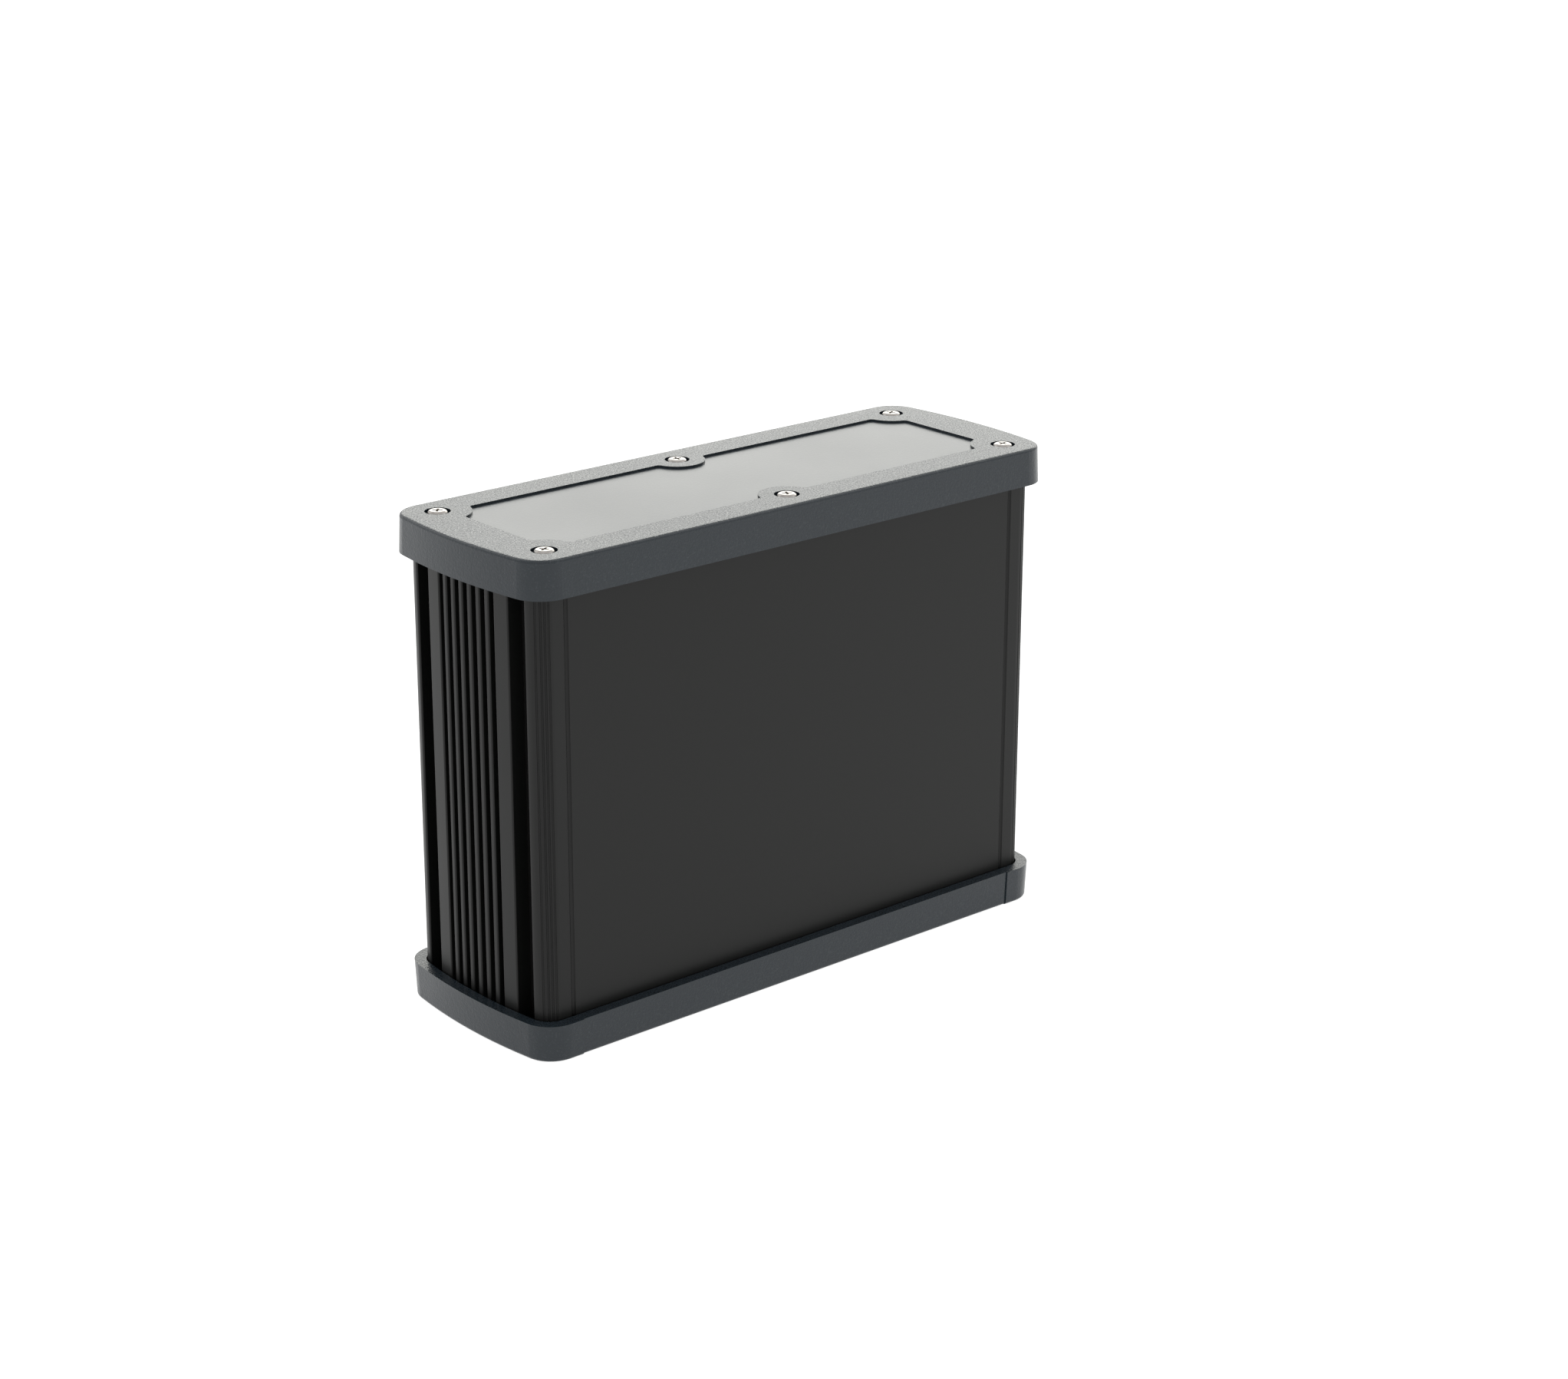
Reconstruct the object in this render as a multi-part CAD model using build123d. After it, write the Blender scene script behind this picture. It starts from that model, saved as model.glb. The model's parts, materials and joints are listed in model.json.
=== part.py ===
"""Battery box: an extruded aluminium case with two screwed end caps and a sliding cell pack.

Millimetres. +X runs along the broad face, +Y through the depth, +Z up.
The origin is the centre of the foot of the box; the broad front faces -Y.
"""
from build123d import *
import math
import os

# ---------------------------------------------------------------- driving dimensions
BOX_HEIGHT = 150.0

# end caps, measured at the open rim
CAP_HALF_LENGTH = 101.2
CAP_HALF_DEPTH = 35.7
CAP_BOW_RADIUS = 191.0
CAP_CORNER_RADIUS = 9.7
CAP_HEIGHT = 11.4
CAP_DRAFT = 0.5
CAP_FILLET = 1.0
CAP_PLATE = 4.0
CAP_GAP = 0.4
SIDE_STEP = 0.4
SIDE_STEP_HALF = 85.0
LABEL_DEPTH = 0.65
LABEL_HALF_LENGTH = 85.4
LABEL_HALF_DEPTH = 23.8
LABEL_CORNER = 1.5
CORNER_LOBE = 10.0
MIDDLE_LOBE = 8.5

# case profile
CASE_HALF_LENGTH = 97.4
CASE_HALF_DEPTH = 31.4
CASE_BOW_RADIUS = 190.0
CASE_CORNER_RADIUS = 5.6
CAVITY_HALF_LENGTH = 90.0
CAVITY_HALF_DEPTH = 29.2
RIB_PITCH = 4.0
RIB_GROOVES = 7
RIB_GROOVE_WIDTH = 2.1
RIB_FLOOR = 93.1
CHANNEL_INNER = 19.1
CHANNEL_OUTER = 25.6
CHANNEL_FLOOR = 91.5
FIN_ROUND = 0.5
FACE_LINE_X = 85.6
FACE_LINE_RADIUS = 0.8
FACE_LINE_OUTSET = 0.3
REED_ANGLES = (14, 26, 38, 54)
REED_RADIUS = 0.3
REED_OUTSET = 0.08
GUIDE_SLOT = (59.6, 61.8)
GUIDE_RAIL = 1.0
GUIDE_REACH = 26.7

# screws
SCREW_X = 88.0
SCREW_Y = 25.4
PORT_RADIUS = 3.3
PORT_BORE = 1.55
SCREW_SHANK = 1.5
SCREW_LENGTH = 12.0
SCREW_HEAD_RADIUS = 3.0
SCREW_HEAD_HEIGHT = 2.2
SCREW_HEAD_ROUND = 1.0
SCREW_CLEARANCE = 1.7
COUNTERBORE_RADIUS = 3.8
TOP_SEAT_DEPTH = 1.9
FOOT_SEAT_DEPTH = 2.5

GASKET = 1.0
GASKET_INSET = 0.3

# cells and their stack, from the foot up
CELL_RADIUS = 12.9
CELL_HEIGHT = 65.5
CELL_BUTTON_RADIUS = 4.5
CELL_BUTTON_HEIGHT = 1.2
SLEEVE_RADIUS = 13.1
CELL_COLUMNS = (-68.75, -41.25, -13.75, 13.75, 41.25)
CELL_ROW_Y = 13.6
ROW_SIGNS = (-1, 1)
TIE_ROD_X = (-55.0, 0.0, 27.5)
TIE_ROD_RADIUS = 2.0
NUT_HEIGHT = 3.2
HOLDER_THICKNESS = 9.0
HOLDER_LEFT = -83.0
HOLDER_RIGHT = 55.5
HOLDER_HALF_DEPTH = 28.3
STRIP = 0.3
SHEET = 0.8
PACK_FOOT_Z = 6.2
STRIP_LOW_Z = PACK_FOOT_Z + SHEET
LOWER_CELL_Z = STRIP_LOW_Z + STRIP
STRIP_MID_Z = LOWER_CELL_Z + CELL_HEIGHT
UPPER_CELL_Z = STRIP_MID_Z + STRIP
STRIP_TOP_Z = UPPER_CELL_Z + CELL_HEIGHT
SHEET_TOP_Z = STRIP_TOP_Z + STRIP

# protection board and dock, in the bay beside the cells
BOARD_X = 59.9
BOARD_THICKNESS = 1.6
BOARD_FRONT = BOARD_X + BOARD_THICKNESS
BOARD_HALF_DEPTH = 28.5
BOARD_Z = (54.0, 137.2)
STANDOFF_Y = 20.0
STANDOFF_Z = (STRIP_MID_Z - 4.5, STRIP_TOP_Z - 4.5)
DOCK_X = 71.0
DOCK_PLATE_Z = 42.0
DOCK_BLADE_Y = 7.5
DOCK_HALF_DEPTH = 16.0
PIN_X = (68.0, 76.0)
PIN_Z = 39.0
SOCKET_X = 70.0
FLANGE_FOOT = 0.15
SOCKET_Y = 11.0
CONTACT_Y = 4.5
JACK_SIDE = (3.0, 4.0)
BOSS_X = 71.0
BOSS_Y = 24.8
LEAD_RADIUS = 1.3
LEAD_BEND = 3.3


# ---------------------------------------------------------------- helpers
def rod(radius, height):
    """Upright cylinder standing on z = 0."""
    return Cylinder(radius, height, align=(Align.CENTER, Align.CENTER, Align.MIN))


def block(x, y, z):
    """Box between the two limits given for each axis."""
    size = (x[1] - x[0], y[1] - y[0], z[1] - z[0])
    middle = ((x[0] + x[1]) / 2, (y[0] + y[1]) / 2, (z[0] + z[1]) / 2)
    return Pos(*middle) * Box(*size)


def tube(points, radius, bend):
    """Round wire along straight runs joined by arcs of the given bend radius."""
    path = FilletPolyline(*points, radius=bend)
    start = Plane(origin=path @ 0, z_dir=path % 0)
    return sweep(start * Circle(radius), path=path)


def group(solids):
    return Compound(list(solids))


def save(shape, node):
    export_step(shape, f"parts/{node}.step")


def bowed_outline(half_length, bow_radius, half_depth, corner_radius):
    """Closed wire with straight long sides, bowed ends and tangent corner arcs."""
    bow_x = half_length - bow_radius
    corner_y = half_depth - corner_radius
    corner_x = bow_x + math.sqrt((bow_radius - corner_radius) ** 2 - corner_y ** 2)
    turn = math.degrees(math.atan2(corner_y, corner_x - bow_x))
    sweep_angle = 90 - turn
    edges = [
        CenterArc((bow_x, 0), bow_radius, -turn, 2 * turn),
        CenterArc((corner_x, corner_y), corner_radius, turn, sweep_angle),
        Line((corner_x, half_depth), (-corner_x, half_depth)),
        CenterArc((-corner_x, corner_y), corner_radius, 90, sweep_angle),
        CenterArc((-bow_x, 0), bow_radius, 180 - turn, 2 * turn),
        CenterArc((-corner_x, -corner_y), corner_radius, 180 + turn, sweep_angle),
        Line((-corner_x, -half_depth), (corner_x, -half_depth)),
        CenterArc((corner_x, -corner_y), corner_radius, 270, sweep_angle),
    ]
    return Wire([edge.edge() for edge in edges])


def case_outline(offset):
    """Outline of the case, grown by offset."""
    return bowed_outline(
        CASE_HALF_LENGTH + offset,
        CASE_BOW_RADIUS + offset,
        CASE_HALF_DEPTH + offset,
        CASE_CORNER_RADIUS + offset,
    )


def screw_places():
    return [(x, y) for y in (-SCREW_Y, SCREW_Y) for x in (-SCREW_X, 0.0, SCREW_X)]


# ---------------------------------------------------------------- case
def screw_port_sketch():
    """Round bosses for the cap screws, joined to the walls."""
    bosses = Sketch()
    for x, y in screw_places():
        side = math.copysign(1, y)
        web_y = (SCREW_Y + CAVITY_HALF_DEPTH + 0.4) / 2 * side
        web_height = CAVITY_HALF_DEPTH + 0.4 - SCREW_Y
        bosses += Pos(x, y) * Circle(PORT_RADIUS)
        web_x = x if x == 0 else math.copysign(SCREW_X + 0.2, x)
        bosses += Pos(web_x, web_y) * Rectangle(4.4, web_height)
    return bosses


def guide_rail_sketch():
    """Two pairs of rails that guide the edges of the protection board."""
    rails = Sketch()
    height = CAVITY_HALF_DEPTH + 0.4 - GUIDE_REACH
    for side in ROW_SIGNS:
        for x in (GUIDE_SLOT[0] - GUIDE_RAIL / 2, GUIDE_SLOT[1] + GUIDE_RAIL / 2):
            rails += Pos(x, side * (GUIDE_REACH + height / 2)) * Rectangle(GUIDE_RAIL, height)
    return rails


def narrow_side_grooves():
    """Fin grooves and two wide channels, cut in both narrow sides."""
    cuts = Sketch()
    reach = 100.0
    for side in ROW_SIGNS:
        for index in range(RIB_GROOVES):
            y = (index - (RIB_GROOVES - 1) / 2) * RIB_PITCH
            x = side * (RIB_FLOOR + reach) / 2
            cuts += Pos(x, y) * Rectangle(reach - RIB_FLOOR, RIB_GROOVE_WIDTH)
        for row in ROW_SIGNS:
            y = row * (CHANNEL_INNER + CHANNEL_OUTER) / 2
            x = side * (CHANNEL_FLOOR + reach) / 2
            cuts += Pos(x, y) * Rectangle(reach - CHANNEL_FLOOR, CHANNEL_OUTER - CHANNEL_INNER)
    return cuts


def fine_lines():
    """Shallow round lines on the broad faces and reeding round the corners."""
    corner_y = CASE_HALF_DEPTH - CASE_CORNER_RADIUS
    bow_x = CASE_HALF_LENGTH - CASE_BOW_RADIUS
    bow_to_corner = CASE_BOW_RADIUS - CASE_CORNER_RADIUS
    corner_x = bow_x + math.sqrt(bow_to_corner ** 2 - corner_y ** 2)
    reed_at = CASE_CORNER_RADIUS + REED_OUTSET
    cuts = Sketch()
    for x_side in ROW_SIGNS:
        for y_side in ROW_SIGNS:
            line_y = CASE_HALF_DEPTH + FACE_LINE_OUTSET
            cuts += Pos(x_side * FACE_LINE_X, y_side * line_y) * Circle(FACE_LINE_RADIUS)
            for degrees in REED_ANGLES:
                angle = math.radians(degrees)
                x = corner_x + reed_at * math.sin(angle)
                y = corner_y + reed_at * math.cos(angle)
                cuts += Pos(x_side * x, y_side * y) * Circle(REED_RADIUS)
    return cuts


def body_extrusion():
    cavity = RectangleRounded(2 * CAVITY_HALF_LENGTH, 2 * CAVITY_HALF_DEPTH, 2.0)
    profile = make_face(case_outline(0)) - narrow_side_grooves()
    fin_tips = [v for v in profile.vertices() if abs(v.X) > 94.5 and abs(v.Y) < 26]
    profile = fillet(fin_tips, FIN_ROUND)
    profile = profile - fine_lines() - cavity
    profile = profile + (screw_port_sketch() & make_face(case_outline(-1.0))) + guide_rail_sketch()
    for x, y in screw_places():
        profile -= Pos(x, y) * Circle(PORT_BORE)
    foot = CAP_PLATE + GASKET
    return Pos(0, 0, foot) * extrude(profile, BOX_HEIGHT - 2 * foot)


def gasket():
    """Flat seal with the outline of the case, open over the cavity."""
    ring = make_face(case_outline(-GASKET_INSET))
    ring -= RectangleRounded(2 * CAVITY_HALF_LENGTH, 2 * CAVITY_HALF_DEPTH, 2.0)
    ring += screw_port_sketch() & make_face(case_outline(-1.0))
    for x, y in screw_places():
        ring -= Pos(x, y) * Circle(SCREW_CLEARANCE)
    return extrude(ring, GASKET)


# ---------------------------------------------------------------- end caps
def cap_block(half_depth):
    """Drafted cap block, open rim at z = 0, with its outer edge rounded."""
    rim = bowed_outline(CAP_HALF_LENGTH, CAP_BOW_RADIUS, half_depth, CAP_CORNER_RADIUS)
    crown = bowed_outline(
        CAP_HALF_LENGTH - CAP_DRAFT,
        CAP_BOW_RADIUS - CAP_DRAFT,
        half_depth - CAP_DRAFT,
        CAP_CORNER_RADIUS - CAP_DRAFT,
    )
    solid = Solid.make_loft([rim, crown.moved(Location((0, 0, CAP_HEIGHT)))], ruled=True)
    return fillet(solid.edges().group_by(Axis.Z)[-1], CAP_FILLET)


def label_recess():
    """Shallow panel with lobes left standing round the six screws."""
    panel = Rectangle(2 * LABEL_HALF_LENGTH, 2 * LABEL_HALF_DEPTH)
    for x, y in screw_places():
        panel -= Pos(x, y) * Circle(MIDDLE_LOBE if x == 0 else CORNER_LOBE)
    return fillet(panel.vertices(), LABEL_CORNER)


def end_cap(seat_depth, stepped):
    """Cap with its rim at z = 0 and its outer face at z = CAP_HEIGHT.

    A stepped cap is set back a little along the middle of its long sides. The
    heads of the lid's screws stand a little above its seats, and those of the
    foot are sunk so that the box stands on the cap.
    """
    cap = cap_block(CAP_HALF_DEPTH)
    if stepped:
        middle_zone = Box(2 * SIDE_STEP_HALF, 4 * CAP_HALF_DEPTH, 4 * CAP_HEIGHT)
        cap -= middle_zone
        cap += cap_block(CAP_HALF_DEPTH - SIDE_STEP) & middle_zone
    cap -= extrude(make_face(case_outline(CAP_GAP)), CAP_HEIGHT - CAP_PLATE)
    cap -= Pos(0, 0, CAP_HEIGHT - LABEL_DEPTH) * extrude(label_recess(), LABEL_DEPTH + 1)
    for x, y in screw_places():
        cap -= Pos(x, y, 0) * rod(SCREW_CLEARANCE, CAP_HEIGHT + 1)
        cap -= Pos(x, y, CAP_HEIGHT - seat_depth) * rod(COUNTERBORE_RADIUS, 4)
    return cap


def top_end_cap():
    return Pos(0, 0, BOX_HEIGHT - CAP_HEIGHT) * end_cap(TOP_SEAT_DEPTH, stepped=False)


def bottom_end_cap():
    """Stepped cap turned over, with the socket openings and two bosses."""
    cap = Pos(0, 0, CAP_HEIGHT) * mirror(end_cap(FOOT_SEAT_DEPTH, stepped=True), about=Plane.XY)
    cap -= block((SOCKET_X - 8.2, SOCKET_X + 8.2), (-SOCKET_Y - 7.2, -SOCKET_Y + 7.2), (-1, 5))
    cap -= Pos(SOCKET_X, SOCKET_Y, -1) * rod(6.2, 6)
    for side in ROW_SIGNS:
        boss = Pos(BOSS_X, side * BOSS_Y, CAP_PLATE - 0.5) * rod(3.0, 4.5)
        bore = Pos(BOSS_X, side * BOSS_Y, CAP_PLATE - 1) * rod(1.3, 6)
        cap = cap + boss - bore
    return cap


def cap_screw(turn):
    """Pan-head screw with a cross recess; the underside of its head is at z = 0."""
    head = rod(SCREW_HEAD_RADIUS, SCREW_HEAD_HEIGHT)
    head = fillet(head.edges().group_by(Axis.Z)[-1], SCREW_HEAD_ROUND)
    shank = Pos(0, 0, -SCREW_LENGTH) * rod(SCREW_SHANK, SCREW_LENGTH)
    shank = chamfer(shank.edges().group_by(Axis.Z)[0], 0.4)
    cross = Rectangle(3.0, 0.75) + Rectangle(0.75, 3.0)
    recess = Pos(0, 0, SCREW_HEAD_HEIGHT + 0.01) * extrude(cross, -1.6, taper=9)
    return Rot(0, 0, turn) * (head + shank - recess)


def top_cap_screws():
    seat = BOX_HEIGHT - TOP_SEAT_DEPTH
    places = enumerate(screw_places())
    return group(Pos(x, y, seat) * cap_screw(25 + 37 * i) for i, (x, y) in places)


def bottom_cap_screws():
    places = enumerate(screw_places())
    flip = Rot(180, 0, 0)
    return group(Pos(x, y, FOOT_SEAT_DEPTH) * flip * cap_screw(31 * i) for i, (x, y) in places)


# ---------------------------------------------------------------- foam pads
def base_foam_pad():
    return block((HOLDER_LEFT, HOLDER_RIGHT), (-20, 20), (CAP_PLATE, PACK_FOOT_Z - 0.1))


def end_foam_pad():
    return block((-CAVITY_HALF_LENGTH + 0.1, HOLDER_LEFT - 0.6), (-20, 20), (20, 120))


def top_foam_pad():
    low = SHEET_TOP_Z + SHEET + 0.3
    pad = block((HOLDER_LEFT + 3, HOLDER_RIGHT), (-20, 20), (low, BOX_HEIGHT - CAP_PLATE))
    return fillet(pad.edges().filter_by(Axis.Z), 3.0)


# ---------------------------------------------------------------- cells
def cell_can():
    """Steel can with its raised positive end at the top."""
    can_height = CELL_HEIGHT - CELL_BUTTON_HEIGHT
    can = rod(CELL_RADIUS, can_height)
    can = fillet(can.edges().filter_by(GeomType.CIRCLE), 0.7)
    button = Pos(0, 0, can_height - 0.2) * rod(CELL_BUTTON_RADIUS, CELL_BUTTON_HEIGHT + 0.2)
    return can + button


def cell_sleeve():
    height = CELL_HEIGHT - CELL_BUTTON_HEIGHT
    return Pos(0, 0, 0.3) * (rod(SLEEVE_RADIUS, height - 0.3) - rod(CELL_RADIUS, height))


def cell_washer():
    """Insulating ring round the positive button."""
    base = CELL_HEIGHT - CELL_BUTTON_HEIGHT
    return Pos(0, 0, base) * (rod(CELL_RADIUS - 0.9, 0.4) - rod(CELL_BUTTON_RADIUS + 0.3, 1))


def cell_row(shape, row, foot):
    """One row of parallel cells; the back row stands on its positive end."""
    if row > 0:
        shape = Pos(0, 0, CELL_HEIGHT) * Rot(180, 0, 0) * shape
    return [Pos(x, row * CELL_ROW_Y, foot) * shape for x in CELL_COLUMNS]


def cell_tier(shape, foot):
    return group(cell_row(shape, -1, foot) + cell_row(shape, 1, foot))


# ---------------------------------------------------------------- cell holders
def port_notches(margin):
    """Room for the two middle screw ports of the case."""
    notches = Sketch()
    for side in ROW_SIGNS:
        notches += Pos(0, side * SCREW_Y) * Circle(PORT_RADIUS + margin)
        notches += Pos(0, side * (SCREW_Y + 5)) * Rectangle(2 * (2.2 + margin), 10)
    return notches


def pack_outline(half_depth, left, right):
    width = right - left
    plate = Pos((left + right) / 2, 0) * RectangleRounded(width, 2 * half_depth, 5.0)
    return plate - port_notches(0.7)


def cell_holder(nut_side):
    """Pocketed plate; nut_side is -1, 1 or 0 for nut recesses below, above or none."""
    plate = pack_outline(HOLDER_HALF_DEPTH, HOLDER_LEFT, HOLDER_RIGHT)
    for x in CELL_COLUMNS:
        for row in ROW_SIGNS:
            plate -= Pos(x, row * CELL_ROW_Y) * Circle(SLEEVE_RADIUS + 0.15)
    for x in TIE_ROD_X:
        plate -= Pos(x, 0) * Circle(TIE_ROD_RADIUS + 0.1)
    holder = extrude(plate, HOLDER_THICKNESS)
    for left, right in zip(CELL_COLUMNS, CELL_COLUMNS[1:]):
        middle = (left + right) / 2
        if middle == 0:
            continue
        for row in ROW_SIGNS:
            clip = block((middle - 2, middle + 2), (26.6, 30), (2, HOLDER_THICKNESS - 2))
            holder -= clip if row > 0 else mirror(clip, about=Plane.XZ)
    recess_z = {-1: 0, 1: HOLDER_THICKNESS - NUT_HEIGHT}
    if nut_side:
        for x in TIE_ROD_X:
            holder -= Pos(x, 0, recess_z[nut_side]) * rod(4.2, NUT_HEIGHT)
    return holder


def tie_rods():
    length = STRIP_TOP_Z - LOWER_CELL_Z
    return group(Pos(x, 0, LOWER_CELL_Z) * rod(TIE_ROD_RADIUS, length) for x in TIE_ROD_X)


def tie_rod_nuts():
    nut = extrude(RegularPolygon(4.0, 6), NUT_HEIGHT) - rod(TIE_ROD_RADIUS, NUT_HEIGHT)
    levels = (LOWER_CELL_Z, STRIP_TOP_Z - NUT_HEIGHT)
    return group(Pos(x, 0, z) * nut for x in TIE_ROD_X for z in levels)


# ---------------------------------------------------------------- busbars and sheets
def busbar_sketch(inner, outer, tab_y):
    """Strip over one row or both, slotted over each cell, with a tab towards the board."""
    length = 134.0
    strip = Pos(-13.75, (inner + outer) / 2) * RectangleRounded(length, outer - inner, 2.0)
    strip += Pos(54.0, tab_y) * Rectangle(8.4, 7.0)
    for x in CELL_COLUMNS:
        for row in ROW_SIGNS:
            if inner < row * CELL_ROW_Y < outer:
                strip -= Pos(x, row * CELL_ROW_Y) * SlotOverall(9.0, 1.2)
    for left, right in zip(CELL_COLUMNS, CELL_COLUMNS[1:]):
        for edge in (inner, outer):
            strip -= Pos((left + right) / 2, edge) * Circle(3.2)
    return strip


def row_busbars(z, tab_shift):
    front = busbar_sketch(-21.0, -6.0, -CELL_ROW_Y + tab_shift)
    back = mirror(front, about=Plane.XZ)
    return group(Pos(0, 0, z) * extrude(sketch, STRIP) for sketch in (front, back))


def top_busbar():
    sheet = busbar_sketch(-21.0, 21.0, 0.0)
    for x in TIE_ROD_X:
        sheet -= Pos(x, 0) * Circle(4.6)
    return Pos(0, 0, STRIP_TOP_Z) * extrude(sheet, STRIP)


def insulating_sheet(z):
    sheet = pack_outline(HOLDER_HALF_DEPTH - 0.6, HOLDER_LEFT, HOLDER_RIGHT + 3.2)
    return Pos(0, 0, z) * extrude(sheet, SHEET)


# ---------------------------------------------------------------- protection board
def on_board(y, z):
    """Place on the board's front face; local +Z points away from the board."""
    return Pos(BOARD_FRONT, y, z) * Rot(0, 90, 0)


def standoff_places():
    return [(side * STANDOFF_Y, z) for side in ROW_SIGNS for z in STANDOFF_Z]


def protection_board():
    board = block((BOARD_X, BOARD_FRONT), (-BOARD_HALF_DEPTH, BOARD_HALF_DEPTH), BOARD_Z)
    for y, z in standoff_places():
        board -= on_board(y, z) * Pos(0, 0, -3) * rod(1.6, 5)
    return board


def board_standoffs():
    length = BOARD_X - HOLDER_RIGHT
    spacer = extrude(RegularPolygon(3.2, 6), length) - rod(1.55, length)
    turned = Rot(0, 90, 0) * spacer
    return group(Pos(HOLDER_RIGHT, y, z) * turned for y, z in standoff_places())


def board_screws():
    reach = BOARD_THICKNESS + 3.5
    screw = Pos(0, 0, -reach) * rod(1.5, reach)
    screw += fillet(rod(2.8, 1.7).edges().group_by(Axis.Z)[-1], 0.8)
    screw -= Pos(0, 0, 0.8) * (Box(3.0, 0.7, 2.4) + Box(0.7, 3.0, 2.4))
    return group(on_board(y, z) * screw for y, z in standoff_places())


def transistor_places():
    return [(-18.0 + 12.0 * column, row_z) for column in range(4) for row_z in (79.0, 91.0)]


def power_transistors():
    package = block((-4.75, 4.75), (-4.75, 4.75), (0, 2.4))
    package = fillet(package.edges().filter_by(Axis.Z), 0.5)
    return group(on_board(y, z) * package for y, z in transistor_places())


def transistor_heatsink():
    """Finned plate bolted over the transistors."""
    base = block((BOARD_FRONT + 2.4, BOARD_FRONT + 4.4), (-25, 25), (72.5, 97.5))
    for index in range(9):
        y = -24.0 + 6.0 * index
        base += block((BOARD_FRONT + 4.2, BOARD_FRONT + 10), (y - 0.6, y + 0.6), (72.5, 97.5))
    return base


def current_shunts():
    """Two low bridges of resistance strip beside the heat sink."""
    outer = block((0, 3.0), (-2.5, 2.5), (-6, 6))
    bridge = outer - block((-1, 2.2), (-3, 3), (-4.8, 4.8))
    return group(Pos(BOARD_FRONT, y, 105.5) * bridge for y in (-22.0, -14.0))


def bulk_capacitors():
    can = fillet(rod(4.0, 11.0).edges().group_by(Axis.Z)[-1], 0.6)
    return group(on_board(y, 105.5) * can for y in (11.0, 21.0))


def control_chip():
    package = block((-4.5, 4.5), (-4.5, 4.5), (0, 1.6))
    package = chamfer(package.edges().group_by(Axis.Z)[-1], 0.3)
    return on_board(-2.0, 117.5) * package


def chip_resistors():
    """Rows of small surface-mounted resistors near the control chip."""
    chip = Pos(0, 0, 0.35) * Box(2.0, 1.2, 0.7)
    places = [(-24.0 + 3.4 * i, z) for i in range(5) for z in (114.5, 118.5, 122.5)]
    places += [(8.5 + 3.4 * i, z) for i in range(5) for z in (116.5, 120.5)]
    return group(on_board(y, z) * chip for y, z in places)


def fuse_holder():
    base = block((BOARD_FRONT, BOARD_FRONT + 6), (-5.5, 5.5), (100.5, 110.5))
    return base - block((BOARD_FRONT + 2, BOARD_FRONT + 7), (-4.2, 4.2), (102.7, 108.3))


def main_fuse():
    body = block((BOARD_FRONT + 2, BOARD_FRONT + 11), (-4.1, 4.1), (102.8, 108.2))
    return fillet(body.edges().group_by(Axis.X)[-1], 0.6)


def sense_header():
    base = block((BOARD_FRONT, BOARD_FRONT + 6), (-8, 8), (126.0, 132.0))
    return base - block((BOARD_FRONT + 1.2, BOARD_FRONT + 7), (-7, 7), (127.0, 131.0))


def sense_plug():
    return block((BOARD_FRONT + 1.3, BOARD_FRONT + 8.5), (-6.8, 6.8), (127.1, 130.9))


def sense_leads():
    """Thin wires from the plug over the board's edge to the three busbar levels."""
    front_x = BOARD_FRONT + 5.5
    out_x = BOARD_FRONT + 12.5
    behind_x = (HOLDER_RIGHT + BOARD_X) / 2
    over_z = STRIP_TOP_Z - 0.6
    start_x = BOARD_FRONT + 8.5
    leads = []
    for y, foot in ((-4.0, UPPER_CELL_Z), (0.0, None), (4.0, UPPER_CELL_Z)):
        points = [(start_x, y, 129), (out_x, y, 129), (out_x, y, over_z), (behind_x, y, over_z)]
        if foot is None:
            points[-1] = (behind_x - 1.0, y, over_z)
        else:
            points.append((behind_x, y, foot + 12))
            points.append((behind_x, math.copysign(CELL_ROW_Y, y), foot + 6))
            points.append((behind_x, math.copysign(CELL_ROW_Y, y), foot))
        leads.append(tube(points, 0.55, 1.9))
    return group(leads)


def pack_lead(row):
    """Lead from the bottom busbar up behind the board to its solder pad."""
    x = (HOLDER_RIGHT + BOARD_X) / 2
    y = row * CELL_ROW_Y
    return Pos(x, y, STRIP_LOW_Z + STRIP) * rod(1.7, BOARD_Z[0] + 6 - STRIP_LOW_Z)


# ---------------------------------------------------------------- dock and sockets
def dock_bracket():
    """Bridge over the sockets that carries the receptacle."""
    leg_x = (BOSS_X - 7, BOSS_X + 7)
    plate = block((62.2, 84.0), (-22, 22), (DOCK_PLATE_Z, DOCK_PLATE_Z + 2))
    for side in ROW_SIGNS:
        leg = block(leg_x, (20, 22), (8, DOCK_PLATE_Z + 1))
        foot = block(leg_x, (20, 28), (8, 10))
        hole = Pos(BOSS_X, BOSS_Y, 7) * rod(1.4, 4)
        support = leg + foot - hole
        plate += support if side > 0 else mirror(support, about=Plane.XZ)
    for x in PIN_X:
        for y in (-DOCK_BLADE_Y, DOCK_BLADE_Y):
            plate -= Pos(x, y, DOCK_PLATE_Z - 1) * rod(2.0, 4)
    return plate


def dock_bracket_screws():
    screw = rod(1.25, 5) + Pos(0, 0, 5) * fillet(rod(2.4, 1.6).edges().group_by(Axis.Z)[-1], 0.7)
    screw -= Pos(0, 0, 6.2) * (Box(2.6, 0.6, 2) + Box(0.6, 2.6, 2))
    return group(Pos(BOSS_X, side * BOSS_Y, 5) * screw for side in ROW_SIGNS)


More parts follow.
